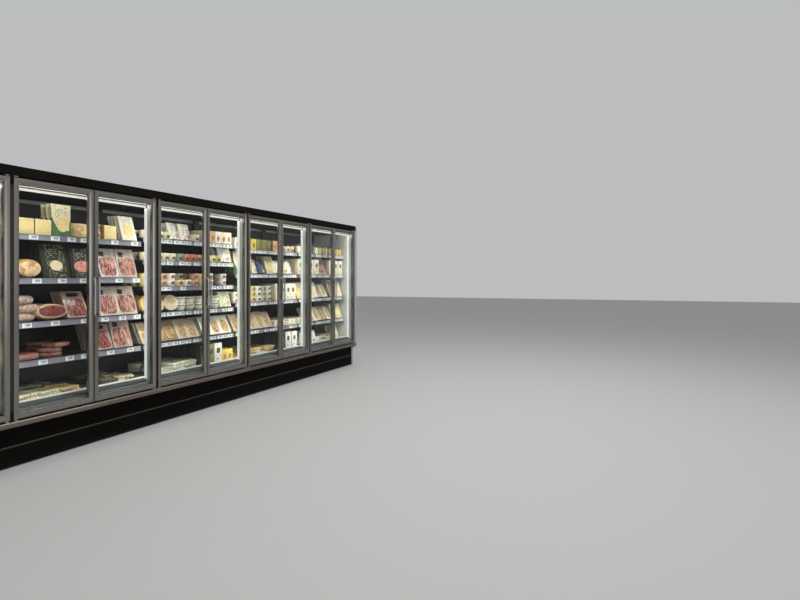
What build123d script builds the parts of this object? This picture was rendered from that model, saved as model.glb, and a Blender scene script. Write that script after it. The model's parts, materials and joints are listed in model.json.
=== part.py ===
from build123d import *
import os

os.makedirs("parts", exist_ok=True)

# A row of refrigerated display cases with hinged glass doors, five double-door bays long.
# Millimetres. X runs along the row, the doors face -Y, and Z is up from the shop floor.
# A depth is measured backwards from the outer face of the closed doors.

# The row as a whole
bay_count = 5
bay_pitch = 1250.0
case_height = 2050.0
case_depth = 830.0
end_wall_thickness = 40.0
panel_joint = 2.0

# Base: stands with levelling feet, and the kick panels screwed to their front ends
beam_width = 60.0
beam_height = 56.0
leg_width = 50.0
leg_bottom = 30.0
front_leg_setback = 42.0
rear_leg_inset = 60.0
stand_wall_gap = 5.0
foot_diameter = 80.0
foot_height = 12.0
foot_stem_diameter = 16.0
kick_depth = 58.0
kick_thickness = 20.0
kick_step = 4.0
kick_groove_height = 142.0
kick_groove_width = 4.0
kick_groove_depth = 8.0
kick_floor_gap = 8.0

# Insulated shell: sill rail, tub floor, back wall, roof, end walls and header
sill_bottom = 286.0
sill_height = 40.0
sill_nose = 18.0
sill_nose_radius = 11.0
tub_floor_thickness = 54.0
back_wall_thickness = 50.0
roof_thickness = 50.0
header_overhang = 10.0
header_height = 66.0
header_sheet = 3.0
end_wall_edge_radius = 5.0
end_wall_lower_step = 240.0

# Door portal: the posts and rails that the doors close against
portal_gap = 8.0
portal_thickness = 40.0
post_width = 70.0
bottom_rail_height = 58.0
top_rail_height = 54.0

# Inside: canopy, rear duct panels, deck trays
linings_gap = 3.0
canopy_drop = 56.0
canopy_sheet = 3.0
curtain_slot_setback = 42.0
curtain_slot_width = 44.0
curtain_slot_height = 16.0
duct_space = 44.0
duct_panel_thickness = 3.0
duct_panel_drop = 28.0
deck_height = 62.0
deck_sheet = 2.0
deck_setback = 4.0
deck_slot_count = 3
deck_slot_width = 10.0
deck_slot_pitch = 18.0
deck_slot_setback = 14.0
deck_slot_end_gap = 26.0
deck_lip_setback = 75.0
deck_lip_height = 20.0
deck_lip_thickness = 3.0

# Shelving: slotted uprights, hooked brackets, folded shelves and price rails
upright_width = 64.0
upright_depth = 25.0
upright_sheet = 2.5
slot_pitch = 40.0
slot_height = 18.0
slot_side_gap = 1.5
lowest_shelf_rise = 288.0
shelf_steps = [(0, 7, 15, 23), (0, 7, 15, 23), (0, 7, 13, 19, 24), (0, 8, 16, 23), (0, 8, 16, 23)]
shelf_end_gap = 12.0
shelf_sheet = 2.0
shelf_setback = 95.0
shelf_front_flange = 38.0
shelf_side_flange = 25.0
shelf_rear_upstand = 20.0
bracket_sheet = 3.0
bracket_root_height = 60.0
bracket_tip_height = 24.0
bracket_tip_setback = 75.0
hook_height = 10.0
hook_reach = 3.0
hook_drop = 6.0
price_rail_height = 42.0
price_rail_rise = 2.0
price_rail_depth = 8.0
price_rail_sheet = 2.0
price_rail_lip = 4.0

# Lamps: a strip under the canopy of each bay and one up each side of each post
lamp_setback = 12.0
lamp_width = 24.0
lamp_height = 20.0
lamp_end_gap = 35.0
post_lamp_inset = 12.0
post_lamp_depth = 32.0
post_lamp_bottom_gap = 10.0
post_lamp_top_gap = 8.0

# Doors: hung in pairs on pivots beside the posts
door_bottom_gap = 9.0
door_top_gap = 9.0
door_thickness = 38.0
door_edge_gap = 12.0
pair_gap = 8.0
door_profile_width = 36.0
door_edge_bevel = 3.0
door_heel_bevel = 10.0
door_slope_drop = 5.5
glass_thickness = 24.0
glass_front_depth = 7.0
glass_cover = 12.0

# Pivot hinges: a plate and pin above and below each door
pivot_from_edge = 17.0
pivot_depth = 13.0
pin_diameter = 8.0
pin_clearance = 0.1
pin_engagement = 17.0
bore_depth = 20.0
hinge_plate_thickness = 4.0
hinge_plate_width = 34.0
hinge_plate_corner = 6.0
collar_diameter = 16.0
collar_gap = 0.3

# Pull handles: a slim bow on the free stile of each door
handle_projection = 34.0
handle_length = 290.0
handle_bottom = 1005.0
handle_width = 12.0
handle_thickness = 9.0
handle_foot_height = 14.0
handle_from_edge = 15.0
handle_foot_margin = 0.5
handle_outer_corner = 9.0
handle_inner_corner = 5.0

# Places worked out from the sizes
door_face_y = (handle_projection - case_depth) / 2
shell_left = -bay_count * bay_pitch / 2
shell_span = (shell_left, -shell_left)
back_wall_depth = case_depth - back_wall_thickness
kick_back_depth = kick_depth + kick_thickness
beam_bottom = sill_bottom - beam_height
sill_top = sill_bottom + sill_height
tub_floor_top = sill_bottom + tub_floor_thickness
header_bottom = case_height - header_height
front_leg_depth = kick_back_depth + front_leg_setback
rear_leg_depth = back_wall_depth - rear_leg_inset
portal_depth = door_thickness + portal_gap
portal_back_depth = portal_depth + portal_thickness
post_bottom = sill_top + bottom_rail_height
post_top = header_bottom - top_rail_height
upright_back_depth = back_wall_depth - duct_space - duct_panel_thickness
upright_front_depth = upright_back_depth - upright_depth
lining_back_depth = upright_front_depth - linings_gap
canopy_underside = header_bottom - canopy_drop
curtain_slot_depth = portal_back_depth + curtain_slot_setback
duct_panel_top = canopy_underside - duct_panel_drop
deck_top = tub_floor_top + deck_height
deck_front_depth = portal_back_depth + deck_setback
deck_lip_depth = deck_front_depth + deck_lip_setback
lowest_shelf_top = deck_top + lowest_shelf_rise
shelf_front_depth = deck_front_depth + shelf_setback
bracket_tip_depth = shelf_front_depth + bracket_tip_setback
bracket_offset = shelf_end_gap + shelf_sheet + bracket_sheet / 2
slot_near = bracket_offset - bracket_sheet / 2 - slot_side_gap
slot_far = bracket_offset + bracket_sheet / 2 + slot_side_gap
lowest_slot_bottom = lowest_shelf_top - shelf_sheet - bracket_root_height
slot_count = max(max(steps) for steps in shelf_steps) + 2
lamp_depth = portal_back_depth + lamp_setback
post_lamp_bottom = deck_top + post_lamp_bottom_gap
post_lamp_top = canopy_underside - lamp_height - post_lamp_top_gap
door_bottom = sill_top + door_bottom_gap
door_top = header_bottom - door_top_gap
door_width = bay_pitch / 2 - door_edge_gap - pair_gap / 2
door_slope_width = door_profile_width - handle_from_edge - handle_width / 2 - handle_foot_margin
pin_radius = pin_diameter / 2
UPWARDS = (Align.CENTER, Align.CENTER, Align.MIN)


def bay_edge(number):
    """X of the joint between two bays, counted from the left end of the row."""
    return shell_left + number * bay_pitch


def block(x_span, depth_span, height_span):
    """A plain block between two X places, two depths and two heights."""
    low = (x_span[0], door_face_y + depth_span[0], height_span[0])
    high = (x_span[1], door_face_y + depth_span[1], height_span[1])
    size = [b - a for a, b in zip(low, high)]
    return Pos(*low) * Box(*size, align=(Align.MIN, Align.MIN, Align.MIN))


def drawn_along(outline, x_span):
    """An outline of (depth, height) points, drawn out along the row."""
    points = [(x_span[0], door_face_y + depth, height) for depth, height in outline]
    face = make_face(Polyline(*points, close=True))
    return extrude(face, amount=x_span[1] - x_span[0], dir=(1, 0, 0))


def upright_rod(x, depth, height_span, radius):
    """A round rod standing at one place."""
    rod = Cylinder(radius, height_span[1] - height_span[0], align=UPWARDS)
    return Pos(x, door_face_y + depth, height_span[0]) * rod


def upright_prism(x, depth, height_span, outline):
    """A rod with flats instead of a round face, standing at one place."""
    rod = extrude(outline, amount=height_span[1] - height_span[0])
    return Pos(x, door_face_y + depth, height_span[0]) * rod


def panels_by_bay(make):
    """One panel to a bay, each with half a joint at its two ends."""
    panels = []
    for bay in range(bay_count):
        x_span = (bay_edge(bay) + panel_joint / 2, bay_edge(bay + 1) - panel_joint / 2)
        panels.append(make(x_span))
    return panels


def save(node, solids):
    """Write one named node."""
    export_step(Compound(list(solids)), f"parts/{node}.step")


# Base stands: a cross beam on two square legs with six-sided levelling feet

def base_stand(x):
    x_span = (x - beam_width / 2, x + beam_width / 2)
    stand = block(x_span, (kick_back_depth, back_wall_depth), (beam_bottom, sill_bottom))
    foot = RegularPolygon(foot_diameter / 2, 6)
    stem = RegularPolygon(foot_stem_diameter / 2, 6)
    for depth in (front_leg_depth, rear_leg_depth):
        leg_x = (x - leg_width / 2, x + leg_width / 2)
        leg_depth = (depth - leg_width / 2, depth + leg_width / 2)
        stand += block(leg_x, leg_depth, (leg_bottom, beam_bottom))
        stand += upright_prism(x, depth, (0, foot_height), foot)
        stand += upright_prism(x, depth, (foot_height, leg_bottom), stem)
    return stand


def base_stands():
    places = [bay_edge(number) for number in range(bay_count + 1)]
    end_inset = max(foot_diameter, beam_width) / 2 + stand_wall_gap
    places[0] += end_inset
    places[-1] -= end_inset
    return [base_stand(x) for x in places]


def kick_panel(x_span):
    """Two boards in one folded panel, the lower one a little proud, with a groove between."""
    groove_bottom = kick_groove_height - kick_groove_width / 2
    groove_top = kick_groove_height + kick_groove_width / 2
    top = sill_bottom - panel_joint
    outline = [
        (kick_depth, kick_floor_gap),
        (kick_depth, groove_bottom),
        (kick_depth + kick_groove_depth, groove_bottom),
        (kick_depth + kick_groove_depth, groove_top),
        (kick_depth + kick_step, groove_top),
        (kick_depth + kick_step, top),
        (kick_back_depth, top),
        (kick_back_depth, kick_floor_gap),
    ]
    return drawn_along(outline, x_span)


# Insulated shell

def sill_rail():
    rail = block(shell_span, (-sill_nose, portal_back_depth), (sill_bottom, sill_top))
    nose_edges = rail.edges().filter_by(Axis.X).group_by(Axis.Y)[0]
    return fillet(nose_edges, sill_nose_radius)


def tub_floor():
    return block(shell_span, (portal_back_depth, back_wall_depth), (sill_bottom, tub_floor_top))


def back_wall():
    return block(shell_span, (back_wall_depth, case_depth), (beam_bottom, header_bottom))


def roof_panel():
    top = header_bottom + roof_thickness
    return block(shell_span, (portal_depth, case_depth), (header_bottom, top))


def end_wall(x_span):
    outline = [
        (kick_depth, 0),
        (case_depth, 0),
        (case_depth, case_height),
        (-header_overhang, case_height),
        (-header_overhang, sill_bottom),
        (kick_depth, end_wall_lower_step),
    ]
    wall = drawn_along(outline, x_span)
    front_edges = wall.edges().filter_by(Axis.Z).group_by(Axis.Y)[0]
    return fillet(front_edges, end_wall_edge_radius)


def end_walls():
    left = end_wall((shell_span[0] - end_wall_thickness, shell_span[0]))
    right = end_wall((shell_span[1], shell_span[1] + end_wall_thickness))
    return [left, right]


def header_fascia():
    """A folded channel, open at the back, that closes the front of the roof."""
    inner_front = header_sheet - header_overhang
    outline = [
        (-header_overhang, header_bottom),
        (portal_depth, header_bottom),
        (portal_depth, header_bottom + header_sheet),
        (inner_front, header_bottom + header_sheet),
        (inner_front, case_height - header_sheet),
        (portal_depth, case_height - header_sheet),
        (portal_depth, case_height),
        (-header_overhang, case_height),
    ]
    return drawn_along(outline, shell_span)


# Door portal

def portal_rails():
    depth_span = (portal_depth, portal_back_depth)
    bottom = block(shell_span, depth_span, (sill_top, post_bottom))
    top = block(shell_span, depth_span, (post_top, header_bottom))
    return [bottom, top]


def post_span(number, width):
    """X span of something as wide as a post, cut in half at the two ends of the row."""
    low = max(bay_edge(number) - width / 2, shell_span[0])
    high = min(bay_edge(number) + width / 2, shell_span[1])
    return (low, high)


def portal_posts():
    depth_span = (portal_depth, portal_back_depth)
    spans = [post_span(number, post_width) for number in range(bay_count + 1)]
    return [block(x_span, depth_span, (post_bottom, post_top)) for x_span in spans]


# Inside linings

def canopy_panel(x_span):
    """A folded ceiling with a raised slot for the air curtain, hung under the roof."""
    slot_front = curtain_slot_depth
    slot_back = curtain_slot_depth + curtain_slot_width
    slot_top = canopy_underside + curtain_slot_height
    under = canopy_underside
    over = canopy_underside + canopy_sheet
    outline = [
        (portal_back_depth, header_bottom),
        (portal_back_depth, under),
        (slot_front, under),
        (slot_front, slot_top),
        (slot_back, slot_top),
        (slot_back, under),
        (lining_back_depth, under),
        (lining_back_depth, header_bottom),
        (lining_back_depth - canopy_sheet, header_bottom),
        (lining_back_depth - canopy_sheet, over),
        (slot_back + canopy_sheet, over),
        (slot_back + canopy_sheet, slot_top + canopy_sheet),
        (slot_front - canopy_sheet, slot_top + canopy_sheet),
        (slot_front - canopy_sheet, over),
        (portal_back_depth + canopy_sheet, over),
        (portal_back_depth + canopy_sheet, header_bottom),
    ]
    return drawn_along(outline, x_span)


def duct_panel(x_span):
    depth_span = (upright_back_depth, upright_back_depth + duct_panel_thickness)
    return block(x_span, depth_span, (deck_top, duct_panel_top))


def deck_tray(x_span):
    """A folded tray that stands on the tub floor, with return-air slots behind the doors."""
    depth_span = (deck_front_depth, lining_back_depth)
    tray = block(x_span, depth_span, (tub_floor_top, deck_top))
    inner_x = (x_span[0] + deck_sheet, x_span[1] - deck_sheet)
    inner_depth = (depth_span[0] + deck_sheet, depth_span[1] - deck_sheet)
    tray -= block(inner_x, inner_depth, (tub_floor_top, deck_top - deck_sheet))
    slot_x = (x_span[0] + deck_slot_end_gap, x_span[1] - deck_slot_end_gap)
    slots = []
    for number in range(deck_slot_count):
        front = deck_front_depth + deck_slot_setback + number * deck_slot_pitch
        slots.append(block(slot_x, (front, front + deck_slot_width), (deck_top - deck_sheet, deck_top)))
    return tray - slots


def deck_trays():
    trays = []
    for half in range(2 * bay_count):
        left = shell_left + half * bay_pitch / 2
        x_span = (left + panel_joint / 2, left + bay_pitch / 2 - panel_joint / 2)
        trays.append(deck_tray(x_span))
    return trays


# Shelving

def shelf_upright(number):
    """A folded channel with slots, each wide enough for the brackets of both its bays."""
    x_span = post_span(number, upright_width)
    height_span = (tub_floor_top, header_bottom)
    upright = block(x_span, (upright_front_depth, upright_back_depth), height_span)
    inner_x = (x_span[0] + upright_sheet, x_span[1] - upright_sheet)
    inner_depth = (upright_front_depth + upright_sheet, upright_back_depth)
    upright -= block(inner_x, inner_depth, height_span)
    leftmost = slot_near if number == 0 else -slot_far
    rightmost = -slot_near if number == bay_count else slot_far
    slot_x = (bay_edge(number) + leftmost, bay_edge(number) + rightmost)
    slot_depth = (upright_front_depth, upright_front_depth + upright_sheet)
    slots = []
    for row in range(slot_count):
        low = lowest_slot_bottom + row * slot_pitch
        slots.append(block(slot_x, slot_depth, (low, low + slot_height)))
    return upright - slots


def shelves_in_row():
    """Bay number and shelf top height of each shelf."""
    for bay, steps in enumerate(shelf_steps):
        for step in steps:
            yield bay, lowest_shelf_top + step * slot_pitch


def shelf_bracket(x, shelf_top):
    """A tapered arm. A hook drops behind the face of the upright, and a tooth steadies it."""
    top = shelf_top - shelf_sheet
    root = top - bracket_root_height
    hook_bottom = root + slot_pitch
    web_back = upright_front_depth + upright_sheet
    hook_back = web_back + hook_reach
    outline = [
        (bracket_tip_depth, top),
        (upright_front_depth, top),
        (upright_front_depth, hook_bottom + hook_height),
        (hook_back, hook_bottom + hook_height),
        (hook_back, hook_bottom - hook_drop),
        (web_back, hook_bottom - hook_drop),
        (web_back, hook_bottom),
        (upright_front_depth, hook_bottom),
        (upright_front_depth, root + hook_height),
        (hook_back, root + hook_height),
        (hook_back, root),
        (upright_front_depth, root),
        (bracket_tip_depth, top - bracket_tip_height),
    ]
    return drawn_along(outline, (x - bracket_sheet / 2, x + bracket_sheet / 2))


def shelf_brackets():
    brackets = []
    for bay, shelf_top in shelves_in_row():
        brackets.append(shelf_bracket(bay_edge(bay) + bracket_offset, shelf_top))
        brackets.append(shelf_bracket(bay_edge(bay + 1) - bracket_offset, shelf_top))
    return brackets


def shelf_span(bay):
    return (bay_edge(bay) + shelf_end_gap, bay_edge(bay + 1) - shelf_end_gap)


def shelf(bay, top):
    """One folded sheet: front and side flanges down, and an upstand along the back."""
    x_span = shelf_span(bay)
    depth_span = (shelf_front_depth, lining_back_depth)
    panel = block(x_span, depth_span, (top - shelf_sheet, top))
    front = (shelf_front_depth, shelf_front_depth + shelf_sheet)
    panel += block(x_span, front, (top - shelf_front_flange, top))
    for x in (x_span[0], x_span[1] - shelf_sheet):
        panel += block((x, x + shelf_sheet), depth_span, (top - shelf_side_flange, top))
    rear = (lining_back_depth - shelf_sheet, lining_back_depth)
    return panel + block(x_span, rear, (top - shelf_sheet, top + shelf_rear_upstand))


def shelves():
    return [shelf(bay, top) for bay, top in shelves_in_row()]


def price_rail(x_span, back_depth, top, height):
    """A shallow channel with a lip along its top and bottom that holds the price tags."""
    front = back_depth - price_rail_depth
    web = back_depth - price_rail_sheet
    bottom = top - height
    outline = [
        (back_depth, top),
        (front, top),
        (front, top - price_rail_lip),
        (front + price_rail_sheet, top - price_rail_lip),
        (web, top - price_rail_sheet),
        (web, bottom + price_rail_sheet),
        (front + price_rail_sheet, bottom + price_rail_lip),
        (front, bottom + price_rail_lip),
        (front, bottom),
        (back_depth, bottom),
    ]
    return drawn_along(outline, x_span)


def price_rails():
    rails = []
    for bay, shelf_top in shelves_in_row():
        top = shelf_top + price_rail_rise
        rails.append(price_rail(shelf_span(bay), shelf_front_depth, top, price_rail_height))
    return rails


def deck_lip(x_span):
    depth_span = (deck_lip_depth, deck_lip_depth + deck_lip_thickness)
    return block(x_span, depth_span, (deck_top, deck_top + deck_lip_height))


# Lamps

def lamps():
    strips = []
    for bay in range(bay_count):
        x_span = (bay_edge(bay) + lamp_end_gap, bay_edge(bay + 1) - lamp_end_gap)
        depth_span = (lamp_depth, lamp_depth + lamp_width)
        strips.append(block(x_span, depth_span, (canopy_underside - lamp_height, canopy_underside)))
        depth_span = (portal_back_depth, portal_back_depth + post_lamp_depth)
        left = (bay_edge(bay) + post_lamp_inset, bay_edge(bay) + post_width / 2)
        right = (bay_edge(bay + 1) - post_width / 2, bay_edge(bay + 1) - post_lamp_inset)
        for x_span in (left, right):
            strips.append(block(x_span, depth_span, (post_lamp_bottom, post_lamp_top)))
    return strips


# Doors. Each is made as a left-hand door with its hinge edge at X 0, and the right-hand
# one of the pair is its mirror image.

def door_frame():
    outer = block((0, door_width), (0, door_thickness), (door_bottom, door_top))
    front = outer.faces().sort_by(Axis.Y)[0]
    outer = chamfer(front.edges(), door_edge_bevel)
    heel = outer.edges().filter_by(Axis.Z).group_by(Axis.Y)[-1].sort_by(Axis.X)[0]
    outer = chamfer(heel, door_heel_bevel)
    inset = door_profile_width
    frame = outer - block(
        (inset, door_width - inset), (0, door_thickness), (door_bottom + inset, door_top - inset)
    )
    front = frame.faces().sort_by(Axis.Y)[0]
    opening_edges = front.inner_wires()[0].edges()
    frame = chamfer(opening_edges, door_slope_width, door_slope_drop, reference=front)
    frame -= glass_pane()
    bore = RegularPolygon(pin_radius + pin_clearance, 8, major_radius=False)
    for bore_bottom in (door_bottom, door_top - bore_depth):
        span = (bore_bottom, bore_bottom + bore_depth)
        frame -= upright_prism(pivot_from_edge, pivot_depth, span, bore)
    return frame


def glass_pane():
    inset = door_profile_width - glass_cover
    return block(
        (inset, door_width - inset),
        (glass_front_depth, glass_front_depth + glass_thickness),
        (door_bottom + inset, door_top - inset),
    )


def door_handle():
    """A bow pull cut from a flat bar outline, standing off the free stile."""
    outer = Plane.YZ * Pos(
        door_face_y - handle_projection / 2, handle_bottom + handle_length / 2
    ) * Rectangle(handle_projection, handle_length)
    outer = chamfer(outer.vertices().group_by(Axis.Y)[0], handle_outer_corner)
    gap_depth = handle_projection - handle_thickness
    gap = Plane.YZ * Pos(
        door_face_y - gap_depth / 2, handle_bottom + handle_length / 2
    ) * Rectangle(gap_depth, handle_length - 2 * handle_foot_height)
    gap = chamfer(gap.vertices().group_by(Axis.Y)[0], handle_inner_corner)
    bow = extrude(outer - gap, amount=handle_width / 2, both=True)
    return Pos(door_width - handle_from_edge, 0, 0) * bow


def hinge_bracket(axis_x, upper):
    """A flat plate fixed to the portal, with the pin that the door turns on."""
    x_span = (axis_x - hinge_plate_width / 2, axis_x + hinge_plate_width / 2)
    if upper:
        plate_span = (header_bottom - hinge_plate_thickness, header_bottom)
        pin_span = (door_top - pin_engagement, plate_span[0])
    else:
        plate_span = (sill_top, sill_top + hinge_plate_thickness)
        pin_span = (plate_span[1], door_bottom + pin_engagement)
    plate = block(x_span, (0, portal_depth), plate_span)
    front_corners = plate.edges().filter_by(Axis.Z).group_by(Axis.Y)[0]
    bracket = chamfer(front_corners, hinge_plate_corner)
    bracket += upright_rod(axis_x, pivot_depth, pin_span, pin_radius)
    if not upper:
        collar_span = (plate_span[1], door_bottom - collar_gap)
        bracket += upright_prism(axis_x, pivot_depth, collar_span, RegularPolygon(collar_diameter / 2, 6))
    return bracket


def hinge_brackets():
    brackets = []
    for bay in range(bay_count):
        left_axis = bay_edge(bay) + door_edge_gap + pivot_from_edge
        right_axis = bay_edge(bay + 1) - door_edge_gap - pivot_from_edge
        for axis_x in (left_axis, right_axis):
            brackets.append(hinge_bracket(axis_x, True))
            brackets.append(hinge_bracket(axis_x, False))
    return brackets


# Write the fixed pieces
save("base_stands", base_stands())
save("kick_panels", panels_by_bay(kick_panel))
save("sill_rail", [sill_rail()])
save("tub_floor", [tub_floor()])
save("back_wall", [back_wall()])
save("roof_panel", [roof_panel()])
save("end_walls", end_walls())
save("header_fascia", [header_fascia()])
save("portal_rails", portal_rails())
save("portal_posts", portal_posts())
save("canopy_liner", panels_by_bay(canopy_panel))
save("duct_panels", panels_by_bay(duct_panel))
save("deck_trays", deck_trays())
save("deck_lips", panels_by_bay(deck_lip))
save("shelf_uprights", [shelf_upright(number) for number in range(bay_count + 1)])
save("shelf_brackets", shelf_brackets())
save("shelves", shelves())
save("price_rails", price_rails())
save("lamps", lamps())
save("hinge_brackets", hinge_brackets())

# Write the doors
door_pieces = {"frame": door_frame(), "glass": glass_pane(), "handle": door_handle()}
for bay in range(bay_count):
    left_place = Pos(bay_edge(bay) + door_edge_gap, 0, 0)
    right_place = Pos(bay_edge(bay + 1) - door_edge_gap, 0, 0)
    for piece, left_hand in door_pieces.items():
        right_hand = mirror(left_hand, about=Plane.YZ)
        save(f"bay_{bay + 1}_left_door_{piece}", [left_place * left_hand])
        save(f"bay_{bay + 1}_right_door_{piece}", [right_place * right_hand])
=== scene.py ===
import json
import math
import random

import bpy
from mathutils import Matrix, Vector

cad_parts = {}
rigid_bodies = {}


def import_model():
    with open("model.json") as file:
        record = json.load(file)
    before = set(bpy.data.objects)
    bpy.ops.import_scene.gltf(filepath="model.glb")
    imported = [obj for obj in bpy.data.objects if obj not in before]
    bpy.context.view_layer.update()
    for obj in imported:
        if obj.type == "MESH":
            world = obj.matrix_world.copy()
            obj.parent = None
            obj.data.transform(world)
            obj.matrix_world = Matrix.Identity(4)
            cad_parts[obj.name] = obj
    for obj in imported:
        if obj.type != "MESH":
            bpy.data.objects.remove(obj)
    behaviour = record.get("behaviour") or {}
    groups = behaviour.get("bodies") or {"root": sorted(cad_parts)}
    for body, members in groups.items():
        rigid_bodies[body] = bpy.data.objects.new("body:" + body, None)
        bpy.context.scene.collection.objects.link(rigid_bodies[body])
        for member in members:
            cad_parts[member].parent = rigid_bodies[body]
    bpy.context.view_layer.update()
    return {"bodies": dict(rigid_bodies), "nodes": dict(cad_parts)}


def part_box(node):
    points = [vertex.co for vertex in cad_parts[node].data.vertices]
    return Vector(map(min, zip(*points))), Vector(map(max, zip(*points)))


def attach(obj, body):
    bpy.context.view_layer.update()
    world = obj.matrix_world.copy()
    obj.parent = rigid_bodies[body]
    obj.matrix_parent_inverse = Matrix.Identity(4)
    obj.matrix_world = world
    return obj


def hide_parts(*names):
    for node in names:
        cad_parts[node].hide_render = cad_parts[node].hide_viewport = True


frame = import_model()
scene = bpy.context.scene
scene.view_settings.view_transform = "Standard"

# Camera. It stands before the row at eye height and looks level along it, turned towards the
# doors. Its place and lens come from where the row's own lines meet in the view.
image_width_px = 800.0
image_middle_px = (400.0, 300.0)
focal_px = 569.0
horizon_px = 277.0
row_lines_meet_px = 639.3
film_width_mm = 36.0
camera_height = 1.30
camera_to_doors = 3.884
camera_before_bay_2 = 2.515
door_face_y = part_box("bay_1_left_door_frame")[0].y
bay_2_joint_x = (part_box("bay_1_right_door_frame")[1].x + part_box("bay_2_left_door_frame")[0].x) / 2
camera_turn = math.atan((row_lines_meet_px - image_middle_px[0]) / focal_px) - math.pi / 2
bpy.ops.object.select_all(action="DESELECT")
bpy.ops.object.camera_add(
    location=(bay_2_joint_x - camera_before_bay_2, door_face_y - camera_to_doors, camera_height),
    rotation=(math.radians(90), 0, camera_turn),
)
camera = bpy.context.object
camera.name = "aisle_camera"
camera.data.lens = focal_px / image_width_px * film_width_mm
camera.data.sensor_width = film_width_mm
camera.data.shift_y = (horizon_px - image_middle_px[1]) / image_width_px
camera.data.clip_end = 100
scene.camera = camera

# Floor, surround and studio light. A pale floor, an even pale surround, two soft boxes high in
# front of the row, and a low wide one that the glass mirrors only at the near end.
floor_size = 60
floor_colour = (0.46, 0.455, 0.445)
floor_shade = 0.97
surround_colour = (0.50, 0.51, 0.52)
bpy.ops.object.select_all(action="DESELECT")
bpy.ops.mesh.primitive_grid_add(x_subdivisions=4, y_subdivisions=4, size=floor_size, location=(0, 0, 0))
floor = bpy.context.object
floor.name = "studio_floor"
floor_paint = bpy.data.materials.new("studio_floor")
floor_paint.use_nodes = True
floor_nodes = floor_paint.node_tree.nodes
floor_shader = floor_nodes["Principled BSDF"]
floor_shader.inputs["Roughness"].default_value = 0.7
floor_grain = floor_nodes.new("ShaderNodeTexNoise")
floor_grain.inputs["Scale"].default_value = 3.0
floor_tones = floor_nodes.new("ShaderNodeValToRGB")
floor_tones.color_ramp.elements[0].color = (*[floor_shade * c for c in floor_colour], 1)
floor_tones.color_ramp.elements[1].color = (*floor_colour, 1)
floor_paint.node_tree.links.new(floor_grain.outputs["Fac"], floor_tones.inputs["Fac"])
floor_paint.node_tree.links.new(floor_tones.outputs["Color"], floor_shader.inputs["Base Color"])
floor.data.materials.append(floor_paint)

world = bpy.data.worlds.new("studio_surround")
scene.world = world
world.use_nodes = True
world.node_tree.nodes["Background"].inputs["Color"].default_value = (*surround_colour, 1)
world.node_tree.nodes["Background"].inputs["Strength"].default_value = 1.0


def add_soft_box(place, aim, width, height, power):
    """A flat lamp that stands at a place and faces a point."""
    bpy.ops.object.select_all(action="DESELECT")
    bpy.ops.object.light_add(type="AREA", location=place)
    soft_box = bpy.context.object
    soft_box.data.shape = "RECTANGLE"
    soft_box.data.size = width
    soft_box.data.size_y = height
    soft_box.data.energy = power
    soft_box.rotation_euler = (Vector(aim) - soft_box.location).to_track_quat("-Z", "Y").to_euler()


for box_x in (-1.6, 2.2):
    add_soft_box(
        place=(box_x, -3.6, 6.2), aim=(box_x, door_face_y, 0.9), width=3.6, height=2.4, power=168.0
    )
add_soft_box(place=(-0.6, -9.0, 1.7), aim=(-0.6, 0, 1.7), width=6.8, height=2.2, power=78.0)

# Base stands. Galvanised steel beams and square legs on levelling feet, bolted under the tub
# at each joint between two cases. Zinc shows as soft grey patches, dulled by floor washing.


def socket_group(name, inputs, outputs):
    """A node group. Inputs are named with a number or a vector to start from, outputs with a kind."""
    group = bpy.data.node_groups.new(name, "ShaderNodeTree")
    for label, start in inputs.items():
        kind = "NodeSocketFloat" if isinstance(start, float) else "NodeSocketVector"
        group.interface.new_socket(label, in_out="INPUT", socket_type=kind).default_value = start
    for label, kind in outputs.items():
        group.interface.new_socket(label, in_out="OUTPUT", socket_type=kind)
    entry = group.nodes.new("NodeGroupInput")
    leave = group.nodes.new("NodeGroupOutput")
    return group, entry.outputs, leave.inputs


def connect(tree, socket, value):
    """Link a socket to another one, or set it to a number, a vector or a colour."""
    if isinstance(value, bpy.types.NodeSocket):
        tree.links.new(value, socket)
    else:
        socket.default_value = value


def feed(tree, sockets, **values):
    """Connect sockets by their names, with _ in place of a space."""
    for label, value in values.items():
        connect(tree, sockets[label.replace("_", " ")], value)


def add_node(tree, kind, *values, settings=None, **named):
    """Add a node, set its options, and feed its inputs in order and by name."""
    node = tree.nodes.new(kind)
    for option, value in (settings or {}).items():
        setattr(node, option, value)
    for number, value in enumerate(values):
        connect(tree, node.inputs[number], value)
    feed(tree, node.inputs, **named)
    return node


def reckon(tree, operation, *values):
    """The result of one sum on numbers."""
    return add_node(tree, "ShaderNodeMath", *values, settings={"operation": operation}).outputs[0]


def reckon_places(tree, operation, *places):
    """The result of one sum on places."""
    return add_node(tree, "ShaderNodeVectorMath", *places, settings={"operation": operation}).outputs[0]


def split_place(tree, place):
    """The X, Y and Z of a place."""
    return add_node(tree, "ShaderNodeSeparateXYZ", Vector=place).outputs


def map_range(tree, value, source=(0.0, 1.0), target=(0.0, 1.0)):
    """A mask stretched from one range to another, and cut off at both ends."""
    return add_node(tree, "ShaderNodeMapRange", value, *source, *target).outputs[0]


def grain_of(tree, place, scale, detail, **more):
    """Soft random patches, from 0 to 1."""
    return add_node(
        tree, "ShaderNodeTexNoise", Vector=place, Scale=scale, Detail=detail, **more
    ).outputs["Fac"]


def bumps_of(tree, height, strength, distance):
    """A normal that follows a mask's heights."""
    return add_node(
        tree, "ShaderNodeBump", Height=height, Strength=strength, Distance=distance
    ).outputs["Normal"]


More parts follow.
